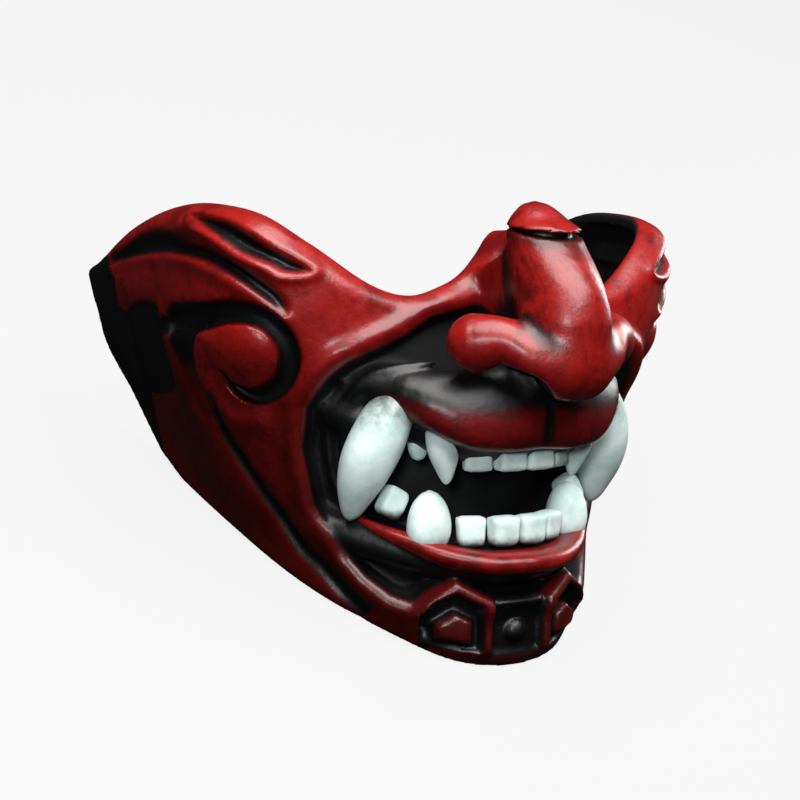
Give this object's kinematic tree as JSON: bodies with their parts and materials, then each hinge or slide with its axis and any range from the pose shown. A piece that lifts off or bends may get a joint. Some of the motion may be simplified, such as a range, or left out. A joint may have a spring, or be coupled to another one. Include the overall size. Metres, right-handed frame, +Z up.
{
  "type": "samurai half mask face guard",
  "caption": "Rigid half mask of a snarling demon from nose to chin, with hooked nose, open jaws over a closed dark mouth, tusks and teeth, hollow behind for a face.",
  "frame": {"origin": "middle of the chin's flat rim face, on the ground", "axes": "+Z up from the ground, +Y from the face towards the ears, +X to the mask's left; mirror plane x = 0"},
  "size_m": [0.1742, 0.1693, 0.1331],
  "materials": {
    "red_lacquer": "hand-painted glossy red over cast resin, mottled darker, with black wash in every groove, on the rear edge and inside",
    "ivory": "satin off-white paint, slightly cool, with grey in the gaps"
  },
  "bodies": {
    "root": {"face_shell": "red_lacquer", "tusk_left": "ivory", "tusk_right": "ivory", "upper_canine_left": "ivory", "upper_canine_right": "ivory", "lower_canine_left": "ivory", "lower_canine_right": "ivory", "upper_molar_left": "ivory", "upper_molar_right": "ivory", "lower_molar_left": "ivory", "lower_molar_right": "ivory", "upper_incisor_1": "ivory", "upper_incisor_2": "ivory", "upper_incisor_3": "ivory", "upper_incisor_4": "ivory", "lower_incisor_1": "ivory", "lower_incisor_2": "ivory", "lower_incisor_3": "ivory", "lower_incisor_4": "ivory"}
  },
  "joints": []
}
